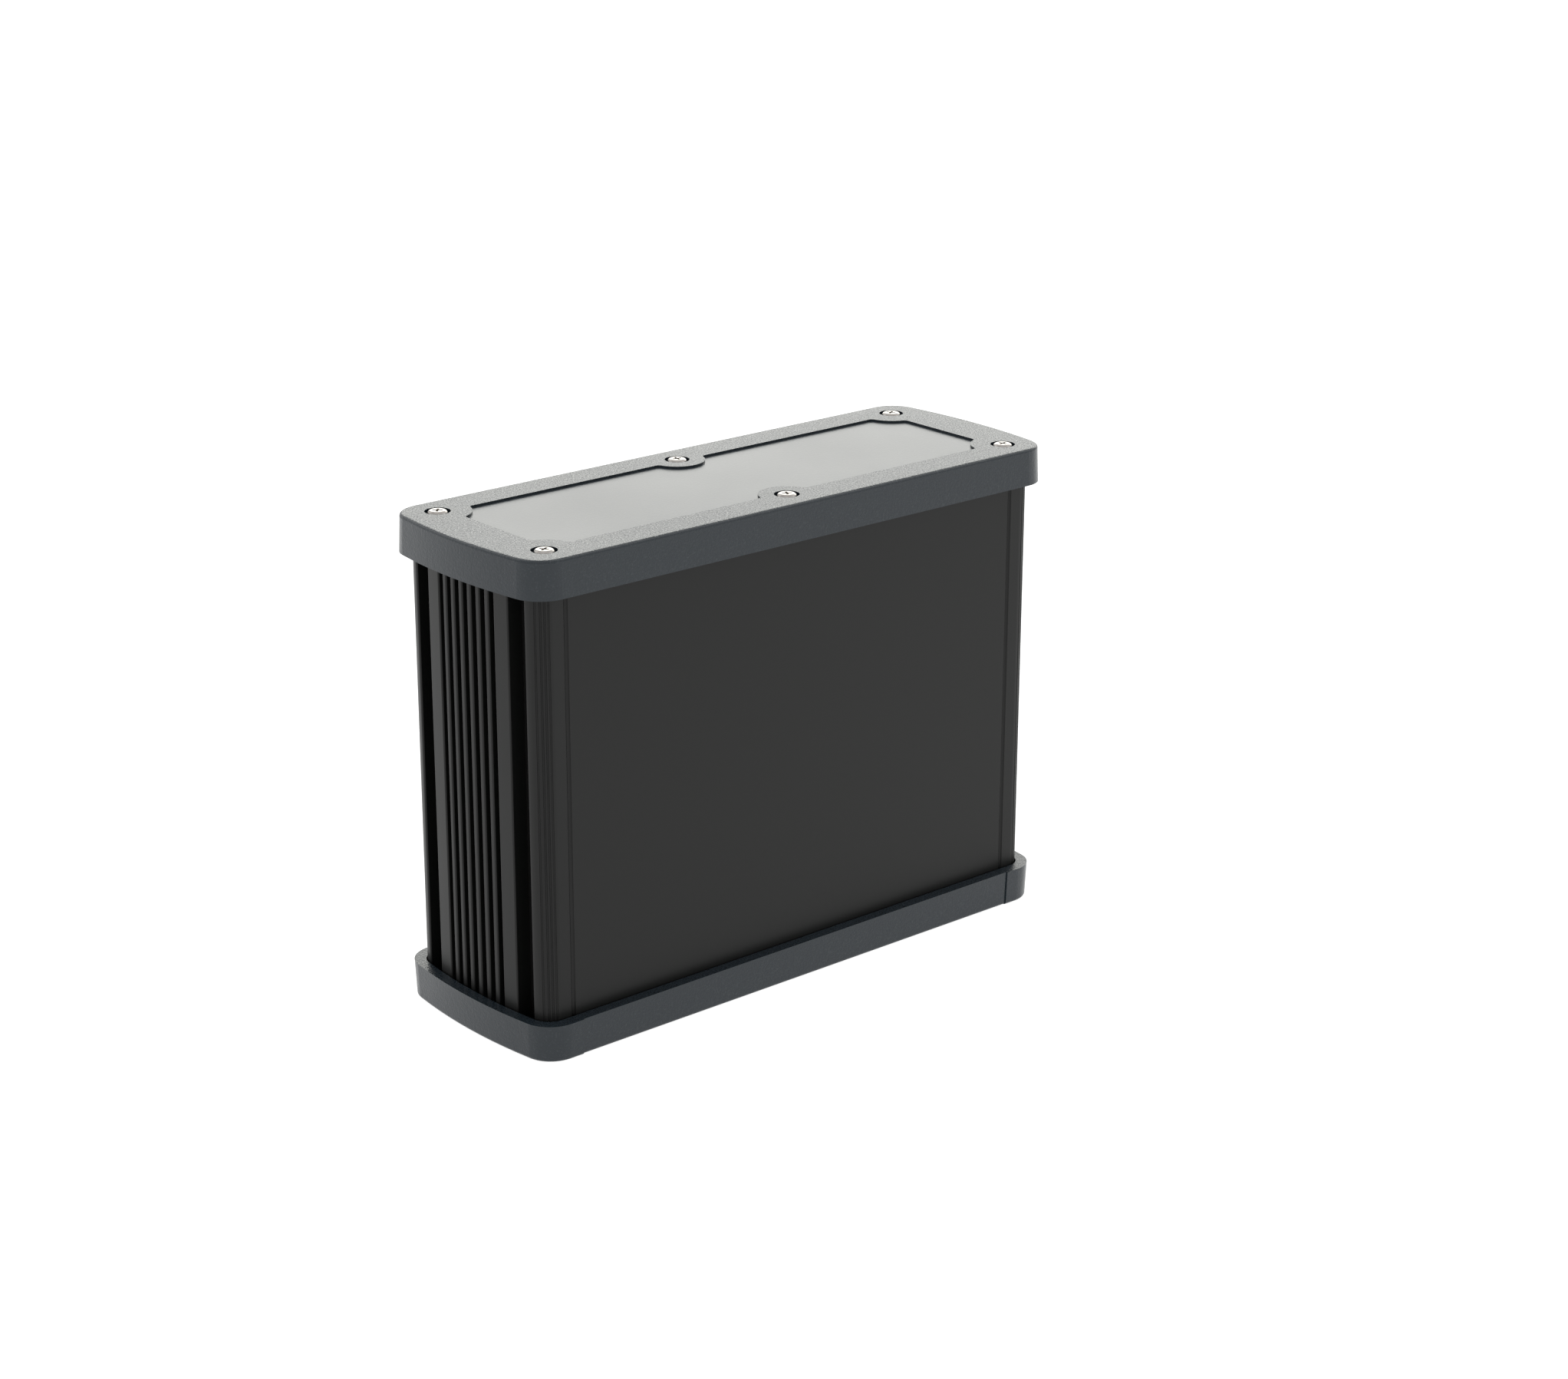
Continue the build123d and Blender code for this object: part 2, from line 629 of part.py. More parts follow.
def dock_receptacle():
    """Fixed half of the blind-mating connector."""
    half = DOCK_HALF_DEPTH - 0.5
    foot = DOCK_PLATE_Z + 2
    body = block((62.7, 79.3), (-half, half), (foot, 53.4))
    body = fillet(body.edges().filter_by(Axis.Z), 1.5)
    for y in (-DOCK_BLADE_Y, DOCK_BLADE_Y):
        body -= block((DOCK_X - 0.7, DOCK_X + 0.7), (y - 4.6, y + 4.6), (foot, 60))
        body -= block((PIN_X[0] - 1.7, PIN_X[1] + 1.7), (y - 1.7, y + 1.7), (foot - 1, foot + 2.1))
    return body


def dock_blades():
    """Two upright blades, each on a bar with two solder pins through the bracket."""
    foot = DOCK_PLATE_Z + 2
    blades = []
    for y in (-DOCK_BLADE_Y, DOCK_BLADE_Y):
        blade = block((DOCK_X - 0.6, DOCK_X + 0.6), (y - 4.5, y + 4.5), (foot + 0.2, 65))
        blade = chamfer(blade.edges().group_by(Axis.Z)[-1].filter_by(Axis.Y), 0.4)
        blade += block((PIN_X[0] - 1.5, PIN_X[1] + 1.5), (y - 1.5, y + 1.5), (foot + 0.2, foot + 2))
        for x in PIN_X:
            blade += Pos(x, y, PIN_Z) * rod(LEAD_RADIUS, foot + 1 - PIN_Z)
        blades.append(blade)
    return group(blades)


def dock_socket():
    """Moving half of the connector, fixed to the foot of the board."""
    body = block((BOARD_FRONT, 79.5), (-DOCK_HALF_DEPTH, DOCK_HALF_DEPTH), (BOARD_Z[0], 68.0))
    body = fillet(body.edges().filter_by(Axis.Z).group_by(Axis.X)[-1], 1.5)
    for y in (-DOCK_BLADE_Y, DOCK_BLADE_Y):
        body -= block((DOCK_X - 1.0, DOCK_X + 1.0), (y - 4.9, y + 4.9), (53, 66))
    return body


def output_socket():
    """Two-pole socket, flush in the foot of the box, open downwards."""
    flange = block((-9.5, 9.5), (-8.2, 8.2), (FLANGE_FOOT, LABEL_DEPTH))
    flange = fillet(flange.edges().filter_by(Axis.Z), 2.0)
    cavity = block((-5.5, 5.5), (-5.6, 5.6), (-1, 15))
    socket = flange + block((-8, 8), (-7, 7), (0.5, 20)) - cavity
    for y in (-CONTACT_Y, CONTACT_Y):
        socket -= block((-2.7, 2.7), (y - 0.6, y + 0.6), (14, 21))
    return Pos(SOCKET_X, -SOCKET_Y, 0) * socket


def output_contacts():
    blade = block((-2.6, 2.6), (-0.5, 0.5), (2, 20)) + Pos(0, 0, 20) * rod(LEAD_RADIUS, 2)
    return group(Pos(SOCKET_X, y - SOCKET_Y, 0) * blade for y in (-CONTACT_Y, CONTACT_Y))


def charge_jack():
    """Round charging jack, flush in the foot of the box, open downwards."""
    body = Pos(0, 0, FLANGE_FOOT) * rod(8.5, LABEL_DEPTH - FLANGE_FOOT)
    body += Pos(0, 0, 0.5) * rod(6.0, 16.5)
    body -= Pos(0, 0, -1) * rod(3.2, 13)
    body -= rod(1.05, 20)
    body -= Pos(*JACK_SIDE, 14) * rod(0.8, 4)
    return Pos(SOCKET_X, SOCKET_Y, 0) * body


def charge_contacts():
    """Centre pin and side contact of the charging jack."""
    pin = Pos(0, 0, 1.5) * rod(1.0, 16) + Pos(0, 0, 17.2) * rod(LEAD_RADIUS, 2.8)
    side = Pos(*JACK_SIDE, 14) * rod(0.75, 3.5) + Pos(*JACK_SIDE, 17.2) * rod(LEAD_RADIUS, 2.8)
    return group(Pos(SOCKET_X, SOCKET_Y, 0) * contact for contact in (pin, side))


def socket_lead(start, end, level):
    """Lead from a socket terminal up to a pin under the bracket, crossing over at level."""
    points = [start, (start[0], start[1], level), (end[0], end[1], level), end]
    return tube(points, LEAD_RADIUS, LEAD_BEND)


def socket_leads():
    output = [(SOCKET_X, y - SOCKET_Y, 22.0) for y in (-CONTACT_Y, CONTACT_Y)]
    centre = (SOCKET_X, SOCKET_Y, 20.0)
    side = (SOCKET_X + JACK_SIDE[0], SOCKET_Y + JACK_SIDE[1], 20.0)
    minus = [(x, -DOCK_BLADE_Y, PIN_Z) for x in PIN_X]
    plus = [(x, DOCK_BLADE_Y, PIN_Z) for x in PIN_X]
    return {
        "negative_output_lead": socket_lead(output[0], minus[1], 30.5),
        "positive_output_lead": socket_lead(output[1], plus[0], 27.5),
        "positive_charge_lead": socket_lead(centre, plus[1], 30.5),
        "negative_charge_lead": socket_lead(side, minus[0], 34.0),
    }


# ---------------------------------------------------------------- all nodes
def all_nodes():
    upper_foot = STRIP_TOP_Z - HOLDER_THICKNESS
    lower_foot = STRIP_MID_Z - HOLDER_THICKNESS
    nodes = {
        "body_extrusion": body_extrusion(),
        "bottom_end_cap": bottom_end_cap(),
        "bottom_gasket": Pos(0, 0, CAP_PLATE) * gasket(),
        "bottom_cap_screws": bottom_cap_screws(),
        "base_foam_pad": base_foam_pad(),
        "end_foam_pad": end_foam_pad(),
        "top_end_cap": top_end_cap(),
        "top_gasket": Pos(0, 0, BOX_HEIGHT - CAP_PLATE - GASKET) * gasket(),
        "top_foam_pad": top_foam_pad(),
        "top_cap_screws": top_cap_screws(),
        "lower_cell_cans": cell_tier(cell_can(), LOWER_CELL_Z),
        "upper_cell_cans": cell_tier(cell_can(), UPPER_CELL_Z),
        "lower_cell_sleeves": cell_tier(cell_sleeve(), LOWER_CELL_Z),
        "upper_cell_sleeves": cell_tier(cell_sleeve(), UPPER_CELL_Z),
        "lower_cell_washers": cell_tier(cell_washer(), LOWER_CELL_Z),
        "upper_cell_washers": cell_tier(cell_washer(), UPPER_CELL_Z),
        "lower_foot_holder": Pos(0, 0, LOWER_CELL_Z) * cell_holder(-1),
        "lower_head_holder": Pos(0, 0, lower_foot) * cell_holder(0),
        "upper_foot_holder": Pos(0, 0, UPPER_CELL_Z) * cell_holder(0),
        "upper_head_holder": Pos(0, 0, upper_foot) * cell_holder(1),
        "tie_rods": tie_rods(),
        "tie_rod_nuts": tie_rod_nuts(),
        "bottom_busbars": row_busbars(STRIP_LOW_Z, 0.0),
        "middle_busbars": row_busbars(STRIP_MID_Z, 0.0),
        "top_busbar": top_busbar(),
        "lower_insulating_sheet": insulating_sheet(PACK_FOOT_Z),
        "upper_insulating_sheet": insulating_sheet(SHEET_TOP_Z),
        "protection_board": protection_board(),
        "board_standoffs": board_standoffs(),
        "board_screws": board_screws(),
        "power_transistors": power_transistors(),
        "transistor_heatsink": transistor_heatsink(),
        "current_shunts": current_shunts(),
        "bulk_capacitors": bulk_capacitors(),
        "control_chip": control_chip(),
        "chip_resistors": chip_resistors(),
        "fuse_holder": fuse_holder(),
        "main_fuse": main_fuse(),
        "sense_header": sense_header(),
        "sense_plug": sense_plug(),
        "sense_leads": sense_leads(),
        "pack_negative_lead": pack_lead(-1),
        "pack_positive_lead": pack_lead(1),
        "dock_bracket": dock_bracket(),
        "dock_bracket_screws": dock_bracket_screws(),
        "dock_receptacle": dock_receptacle(),
        "dock_blades": dock_blades(),
        "dock_socket": dock_socket(),
        "output_socket": output_socket(),
        "output_contacts": output_contacts(),
        "charge_jack": charge_jack(),
        "charge_contacts": charge_contacts(),
    }
    nodes.update(socket_leads())
    return nodes


os.makedirs("parts", exist_ok=True)
for node_name, node_shape in all_nodes().items():
    save(node_shape, node_name)
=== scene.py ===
"""Looks of the battery box: finishes, small detail pieces, floor, light and camera. Metres."""

import json
import math
import random

import bmesh
import bpy
from mathutils import Matrix, Vector


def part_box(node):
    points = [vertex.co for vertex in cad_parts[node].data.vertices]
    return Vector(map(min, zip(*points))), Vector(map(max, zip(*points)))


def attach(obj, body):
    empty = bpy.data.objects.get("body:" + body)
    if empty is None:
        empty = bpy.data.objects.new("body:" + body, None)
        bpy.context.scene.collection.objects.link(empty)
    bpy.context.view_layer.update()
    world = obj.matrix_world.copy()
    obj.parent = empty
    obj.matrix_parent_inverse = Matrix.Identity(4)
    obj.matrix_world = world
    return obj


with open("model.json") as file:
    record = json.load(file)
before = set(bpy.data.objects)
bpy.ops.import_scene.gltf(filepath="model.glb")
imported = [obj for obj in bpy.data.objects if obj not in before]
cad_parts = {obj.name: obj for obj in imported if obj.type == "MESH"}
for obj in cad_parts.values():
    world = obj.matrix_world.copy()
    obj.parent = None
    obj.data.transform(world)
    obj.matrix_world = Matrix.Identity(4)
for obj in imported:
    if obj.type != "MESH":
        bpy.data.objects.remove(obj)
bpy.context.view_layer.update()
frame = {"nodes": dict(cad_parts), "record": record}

MM = 0.001
BOX_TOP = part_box("top_end_cap")[1][2]

# Each cap's label recess, in metres: how deep its floor can lie, and how far it reaches
RECESS_FLOOR = (0.50 * MM, 0.80 * MM)
RECESS_HALF_LENGTH = 85.6 * MM
RECESS_HALF_DEPTH = 24.0 * MM

# Cells, in millimetres: one tier's height, and the pale band printed round each cell
TIER_PITCH = 65.8
BAND = (55.0, 56.4)


# ---------------------------------------------------------------- finish nodes
class Finish:
    """A procedural material on one Principled shader, in the object's own metres."""

    def __init__(self, name, color, rough, metal=0.0, specular=0.5, coat=0.0):
        self.mat = bpy.data.materials.new(name)
        self.mat.use_nodes = True
        self.mat.diffuse_color = (*color, 1)
        self.nodes = self.mat.node_tree.nodes
        self.links = self.mat.node_tree.links
        self.shader = self.nodes["Principled BSDF"]
        self.color = color
        self.rough = rough
        self.put("Base Color", (*color, 1))
        self.put("Roughness", rough)
        self.put("Metallic", metal)
        self.put("Specular IOR Level", specular)
        self.put("Coat Weight", coat)
        self.place = self.nodes.new("ShaderNodeTexCoord").outputs["Object"]

    def put(self, socket, value):
        self.shader.inputs[socket].default_value = value

    def node(self, kind, settings=None, **sockets):
        made = self.nodes.new(kind)
        for key, value in (settings or {}).items():
            setattr(made, key, value)
        for key, value in sockets.items():
            slot = made.inputs[key.replace("_", " ")]
            if hasattr(value, "is_output"):
                self.links.new(value, slot)
            else:
                slot.default_value = value
        return made

    def stretched(self, scale):
        return self.node("ShaderNodeMapping", Vector=self.place, Scale=scale).outputs["Vector"]

    def noise(self, scale, detail=2.0, stretch=None):
        vector = self.stretched(stretch) if stretch else self.place
        made = self.node("ShaderNodeTexNoise", Vector=vector, Scale=scale, Detail=detail)
        return made.outputs["Fac"]

    def cells(self, scale):
        made = self.node("ShaderNodeTexVoronoi", {"feature": "F1"}, Vector=self.place, Scale=scale)
        return made.outputs["Distance"]

    def span(self, value, low, high, to_low=0.0, to_high=1.0):
        made = self.nodes.new("ShaderNodeMapRange")
        self.links.new(value, made.inputs["Value"])
        for name, number in zip(("From Min", "From Max", "To Min", "To Max"), (low, high, to_low, to_high)):
            made.inputs[name].default_value = number
        return made.outputs["Result"]

    def math(self, operation, first, second):
        made = self.nodes.new("ShaderNodeMath")
        made.operation = operation
        for slot, value in zip(made.inputs, (first, second)):
            if hasattr(value, "is_output"):
                self.links.new(value, slot)
            else:
                slot.default_value = value
        return made.outputs["Value"]

    def axis(self, name):
        return self.node("ShaderNodeSeparateXYZ", Vector=self.place).outputs[name]

    def facing(self, name):
        """One part of the surface's own normal, in the object's frame."""
        normal = self.nodes.new("ShaderNodeTexCoord").outputs["Normal"]
        return self.node("ShaderNodeSeparateXYZ", Vector=normal).outputs[name]

    def tint(self, fac, first, second):
        """A mix of two flat colours."""
        made = self.nodes.new("ShaderNodeMix")
        made.data_type = "RGBA"
        self.links.new(fac, made.inputs["Factor"])
        color_slots = [s for s in made.inputs if s.type == "RGBA"]
        for slot, value in zip(color_slots, (first, second)):
            slot.default_value = (*value, 1)
        return [s for s in made.outputs if s.type == "RGBA"][0]

    def over(self, fac, under, color):
        """A flat colour laid over another colour output where fac is 1."""
        made = self.nodes.new("ShaderNodeMix")
        made.data_type = "RGBA"
        self.links.new(fac, made.inputs["Factor"])
        color_slots = [s for s in made.inputs if s.type == "RGBA"]
        self.links.new(under, color_slots[0])
        color_slots[1].default_value = (*color, 1)
        return [s for s in made.outputs if s.type == "RGBA"][0]

    def paint(self, color):
        self.links.new(color, self.shader.inputs["Base Color"])

    def vary_color(self, fac, amount):
        dark = tuple(c * (1 - amount) for c in self.color)
        light = tuple(min(1, c * (1 + amount)) for c in self.color)
        color = self.tint(fac, dark, light)
        self.paint(color)
        return color

    def vary_rough(self, fac, amount):
        result = self.span(fac, 0.25, 0.75, self.rough - amount, self.rough + amount)
        self.links.new(result, self.shader.inputs["Roughness"])

    def bump(self, height, strength, distance, under=None):
        made = self.node("ShaderNodeBump", Height=height, Strength=strength, Distance=distance)
        if under is not None:
            self.links.new(under, made.inputs["Normal"])
        self.links.new(made.outputs["Normal"], self.shader.inputs["Normal"])
        return made.outputs["Normal"]


# ---------------------------------------------------------------- finishes
def cap_plastic():
    """Sand-textured slate plastic; the label recess of each cap is smoother, and its rim grainier."""
    f = Finish("cap_plastic", (0.0085, 0.0135, 0.0180), 0.33, specular=0.42)
    height = f.axis("Z")
    above = f.math("GREATER_THAN", height, BOX_TOP - RECESS_FLOOR[1])
    below = f.math("LESS_THAN", height, BOX_TOP - RECESS_FLOOR[0])
    top_panel = f.math("MULTIPLY", above, below)
    foot_above = f.math("GREATER_THAN", height, RECESS_FLOOR[0])
    foot_below = f.math("LESS_THAN", height, RECESS_FLOOR[1])
    panel = f.math("MAXIMUM", top_panel, f.math("MULTIPLY", foot_above, foot_below))
    inside_x = f.math("LESS_THAN", f.math("ABSOLUTE", f.axis("X"), 0.0), RECESS_HALF_LENGTH)
    inside_y = f.math("LESS_THAN", f.math("ABSOLUTE", f.axis("Y"), 0.0), RECESS_HALF_DEPTH)
    panel = f.math("MULTIPLY", panel, f.math("MULTIPLY", inside_x, inside_y))
    grain = f.noise(1500, 2)
    mottle = f.noise(750, 3)
    cloud = f.noise(14, 3)
    base = f.vary_color(cloud, 0.10)
    flecks = f.math("MULTIPLY", f.span(f.noise(1700, 2), 0.56, 0.72), 0.5)
    f.paint(f.over(flecks, base, (0.030, 0.036, 0.042)))
    sand = f.math("ADD", grain, f.math("MULTIPLY", mottle, 0.9))
    facing_up = f.math("ABSOLUTE", f.facing("Z"), 0.0)
    flat = f.math("MULTIPLY", facing_up, f.math("SUBTRACT", 1.0, panel))
    depth = f.math("SUBTRACT", 1.0, f.math("MULTIPLY", panel, 0.88))
    depth = f.math("MULTIPLY", depth, f.span(facing_up, 0.3, 0.9, 0.5, 1.0))
    f.bump(f.math("MULTIPLY", sand, depth), 1.0, 0.10 * MM)
    rough = f.math("ADD", f.span(cloud, 0.3, 0.7, 0.22, 0.26), f.math("MULTIPLY", flat, 0.10))
    rough = f.math("ADD", rough, f.math("MULTIPLY", panel, 0.075))
    speckle = f.span(f.noise(2100, 1), 0.38, 0.62, -0.09, 0.09)
    rough = f.math("ADD", rough, f.math("MULTIPLY", flat, speckle))
    f.links.new(rough, f.shader.inputs["Roughness"])
    return f


def black_anodised():
    """Satin black anodising with faint drawing lines along the extrusion."""
    f = Finish("black_anodised", (0.0032, 0.0034, 0.0031), 0.40, specular=0.27)
    lines = f.noise(1.0, 3, stretch=(2600, 2600, 6))
    grain = f.noise(3800, 2)
    cloud = f.noise(9, 3)
    f.vary_color(cloud, 0.25)
    f.vary_rough(cloud, 0.03)
    normal = f.bump(lines, 0.06, 0.02 * MM)
    f.bump(grain, 0.10, 0.02 * MM, under=normal)
    return f


def plain_plastic(name, color, rough, grain=900, strength=0.15, specular=0.5):
    f = Finish(name, color, rough, specular=specular)
    f.vary_color(f.noise(60, 3), 0.12)
    f.vary_rough(f.noise(220, 3), 0.05)
    f.bump(f.noise(grain, 3), strength, 0.04 * MM)
    return f


def plain_metal(name, color, rough, stretch=(1, 1, 1)):
    f = Finish(name, color, rough, metal=1.0)
    f.vary_color(f.noise(180, 3), 0.12)
    f.vary_rough(f.noise(500, 3), 0.07)
    f.bump(f.noise(1400, 3, stretch=stretch), 0.12, 0.02 * MM)
    return f


def foam():
    f = Finish("foam", (0.030, 0.030, 0.033), 0.95, specular=0.2)
    pore_dips_and_painted_shade = f.cells(1100)
    # Painted shade: the colour darkens towards the middle of each pore, where the bump dips, and stands in
    # for shade in the pits.
    f.paint(f.tint(pore_dips_and_painted_shade, (0.008, 0.008, 0.009), (0.045, 0.045, 0.05)))
    f.bump(pore_dips_and_painted_shade, 0.8, 0.25 * MM)
    return f


def cell_sleeve():
    """Shrink film: glossy, with faint wrinkles round the can."""
    f = Finish("cell_sleeve", (0.012, 0.10, 0.24), 0.28, coat=0.25)
    f.put("Coat Roughness", 0.12)
    film = f.vary_color(f.noise(35, 3), 0.10)
    along = f.math("MODULO", f.axis("Z"), TIER_PITCH * MM)
    above = f.math("GREATER_THAN", along, BAND[0] * MM)
    band = f.math("MULTIPLY", above, f.math("LESS_THAN", along, BAND[1] * MM))
    f.paint(f.over(band, film, (0.55, 0.57, 0.60)))
    f.bump(f.noise(1.0, 3, stretch=(90, 90, 700)), 0.12, 0.06 * MM)
    return f


def circuit_board():
    """Solder mask over copper: broad pours and a fine grid of tracks show through it."""
    f = Finish("circuit_board", (0.004, 0.060, 0.022), 0.30, coat=0.4)
    f.put("Coat Roughness", 0.15)
    pours = f.cells(150)
    flat = f.node("ShaderNodeCombineXYZ", X=f.axis("Z"), Y=f.axis("Y")).outputs["Vector"]
    tracks = f.node("ShaderNodeTexBrick", Vector=flat, Scale=110.0).outputs["Fac"]
    copper = f.span(pours, 0.35, 0.42)
    base = f.tint(copper, (0.004, 0.055, 0.020), (0.010, 0.105, 0.038))
    f.paint(f.over(f.math("MULTIPLY", tracks, 0.5), base, (0.016, 0.15, 0.06)))
    f.bump(f.math("ADD", copper, tracks), 0.10, 0.05 * MM)
    f.vary_rough(f.noise(260, 3), 0.05)
    return f


def insulating_sheet():
    """Glass-epoxy sheet with the weave of its cloth showing."""
    f = Finish("insulating_sheet", (0.30, 0.36, 0.16), 0.45)
    wave_x = f.node("ShaderNodeTexWave", {"bands_direction": "X"}, Vector=f.place, Scale=420.0)
    wave_y = f.node("ShaderNodeTexWave", {"bands_direction": "Y"}, Vector=f.place, Scale=420.0)
    weave = f.math("MULTIPLY", wave_x.outputs["Fac"], wave_y.outputs["Fac"])
    f.paint(f.tint(weave, (0.24, 0.30, 0.12), (0.36, 0.42, 0.21)))
    f.bump(weave, 0.25, 0.05 * MM)
    return f


def lead(name, color):
    f = Finish(name, color, 0.42, specular=0.45)
    f.vary_color(f.noise(300, 2), 0.10)
    f.bump(f.noise(1600, 2), 0.12, 0.03 * MM)
    return f


FINISHES = {
    "black_anodised": black_anodised(),
    "cap_plastic": cap_plastic(),
    "seal_rubber": plain_plastic("seal_rubber", (0.006, 0.006, 0.006), 0.75, specular=0.3),
    "foam": foam(),
    "stainless": plain_metal("stainless", (0.28, 0.265, 0.25), 0.22),
    "cell_can": plain_metal("cell_can", (0.66, 0.65, 0.62), 0.30),
    "cell_sleeve": cell_sleeve(),
    "washer_paper": plain_plastic("washer_paper", (0.72, 0.71, 0.67), 0.85, 2200, 0.3, 0.3),
    "holder_plastic": plain_plastic("holder_plastic", (0.012, 0.012, 0.013), 0.48),
    "zinc_steel": plain_metal("zinc_steel", (0.58, 0.59, 0.61), 0.32),
    "nickel": plain_metal("nickel", (0.62, 0.59, 0.53), 0.30, stretch=(0.05, 1, 1)),
    "insulating_sheet": insulating_sheet(),
    "circuit_board": circuit_board(),
    "brass": plain_metal("brass", (0.62, 0.43, 0.17), 0.28),
    "component_black": plain_plastic("component_black", (0.012, 0.012, 0.012), 0.55, 1800),
    "bare_aluminium": plain_metal("bare_aluminium", (0.72, 0.72, 0.73), 0.36, stretch=(1, 0.03, 1)),
    "capacitor_can": plain_metal("capacitor_can", (0.60, 0.60, 0.62), 0.26),
    "fuse_body": plain_plastic("fuse_body", (0.55, 0.20, 0.01), 0.22, 500, 0.05),
    "connector_white": plain_plastic("connector_white", (0.74, 0.72, 0.64), 0.45),
    "connector_black": plain_plastic("connector_black", (0.010, 0.010, 0.011), 0.42),
    "lead_white": lead("lead_white", (0.70, 0.69, 0.66)),
    "lead_black": lead("lead_black", (0.010, 0.010, 0.010)),
    "lead_red": lead("lead_red", (0.42, 0.008, 0.008)),
}

for part in frame["record"]["subparts"]:
    node_mesh = frame["nodes"][part["node"]].data
    node_mesh.materials.clear()
    node_mesh.materials.append(FINISHES[part["material_slot"]].mat)


# ---------------------------------------------------------------- detail pieces, in millimetres
CELL_COLUMNS = (-68.75, -41.25, -13.75, 13.75, 41.25)
CELL_ROW_Y = 13.6
SLEEVE_RADIUS = 13.1
SEAM_FOOT = 16.5
SEAM_HEIGHT = 47.0
SEAM_HALF_TURN = 0.045
SCREW_X = 88.0
SCREW_Y = 25.4
SCREW_HEAD_RADIUS = 3.0
THREAD_START = 0.7
THREAD_LENGTH = 9.0
THREAD_PITCH = 0.5
THREAD_ROOT = 1.47
THREAD_CREST = 1.54
CHIP_CENTRE = (-2.0, 117.5)
CHIP_PIN_PITCH = 0.75
CHIP_PIN_WIDTH = 0.3
CAPACITOR_Y = (11.0, 21.0)
CAPACITOR_Z = 105.5
CAPACITOR_LENGTH = 11.0
HEATSINK_FACE = 4.4
HEATSINK_SCREWS = ((-15.0, 85.0), (15.0, 85.0))
TEST_PAD_Z = 127.5
PACK_LEAD_X = 57.4
SENSE_LEAD_X = 57.5
SOLDER_X = 57.1
LOWER_TAB_Z = 7.3
MIDDLE_TAB_Z = 73.1
AXIS_GAP = 0.02
BOARD_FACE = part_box("protection_board")[1][0] / MM
BOARD_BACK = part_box("protection_board")[0][0] / MM
AWAY = {
    "+X": (Vector((1, 0, 0)), Vector((0, 1, 0))),
    "-X": (Vector((-1, 0, 0)), Vector((0, 1, 0))),
    "+Z": (Vector((0, 0, 1)), Vector((1, 0, 0))),
    "-Z": (Vector((0, 0, -1)), Vector((1, 0, 0))),
}


class Shape:
    """Closed solids gathered into one mesh."""

    def __init__(self):
        self.mesh = bmesh.new()

    def strip(self, rings, loop):
        """Skin between rings of corners; a loop joins the last ring to the first."""
        made = [[self.mesh.verts.new(corner) for corner in ring] for ring in rings]
        pairs = list(zip(made, made[1:]))
        if loop:
            pairs.append((made[-1], made[0]))
        for ring, following in pairs:
            for i in range(len(ring)):
                j = (i + 1) % len(ring)
                self.mesh.faces.new((ring[i], ring[j], following[j], following[i]))
        if not loop:
            self.mesh.faces.new(made[0])
            self.mesh.faces.new(made[-1][::-1])

    def prism(self, outline, along):
        corners = [Vector(corner) for corner in outline]
        self.strip([corners, [corner + Vector(along) for corner in corners]], loop=False)

    def box(self, low, high, edge=0.0):
        """Box with softened edges."""
        verts = bmesh.ops.create_cube(self.mesh, size=1.0)["verts"]
        for vert in verts:
            vert.co = [a + (c + 0.5) * (b - a) for a, b, c in zip(low, high, vert.co)]
        if edge:
            edges = list({e for vert in verts for e in vert.link_edges})
            bmesh.ops.bevel(self.mesh, geom=edges, offset=edge, segments=2, profile=0.5, affect="EDGES")

    def turned(self, place, away, profile, sides=24, arc=None):
        """Closed (radius, height) profile turned about an axis, or over part of a turn."""
        axis, across = AWAY[away]
        other = axis.cross(across)
        start, stop = arc or (0.0, 2 * math.pi)
        count = sides + 1 if arc else sides
        rings = []
        for i in range(count):
            angle = start + (stop - start) * i / sides
            spoke = across * math.cos(angle) + other * math.sin(angle)
            rings.append([Vector(place) + spoke * r + axis * h for r, h in profile])
        self.strip(rings, loop=arc is None)

    def thread(self, place, away, length, pitch, root, crest):
        """One ridge wound round a shank, fading in and out at its ends."""
        axis, across = AWAY[away]
        other = axis.cross(across)
        sides = 16
        steps = int(length / pitch * sides)
        rings = []
        for i in range(steps + 1):
            angle = 2 * math.pi * i / sides
            spoke = across * math.cos(angle) + other * math.sin(angle)
            fade = min(1.0, i / sides, (steps - i) / sides)
            peak = root + (crest - root) * fade
            height = length * i / steps
            corners = ((root - 0.12, -0.17), (peak, 0.0), (root - 0.12, 0.17))
            rings.append([Vector(place) + spoke * r + axis * (height + h) for r, h in corners])
        self.strip(rings, loop=False)

    def add(self, name, body, slot):
        bmesh.ops.recalc_face_normals(self.mesh, faces=self.mesh.faces)
        bmesh.ops.scale(self.mesh, vec=(MM, MM, MM), verts=self.mesh.verts)
        mesh = bpy.data.meshes.new(name)
        self.mesh.to_mesh(mesh)
        self.mesh.free()
        mesh.polygons.foreach_set("use_smooth", [True] * len(mesh.polygons))
        mesh.set_sharp_from_angle(angle=math.radians(35))
        mesh.materials.append(FINISHES[slot].mat)
        piece = bpy.data.objects.new(name, mesh)
        bpy.context.scene.collection.objects.link(piece)
        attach(piece, body)


def dome(radius, height):
    """Profile of a low solder dome; its tiny centre flat keeps the mesh closed."""
    edge = (radius, height * 0.15)
    shoulder = (radius * 0.7, height * 0.7)
    return [(AXIS_GAP, -0.05), (radius, -0.05), edge, shoulder, (AXIS_GAP, height)]


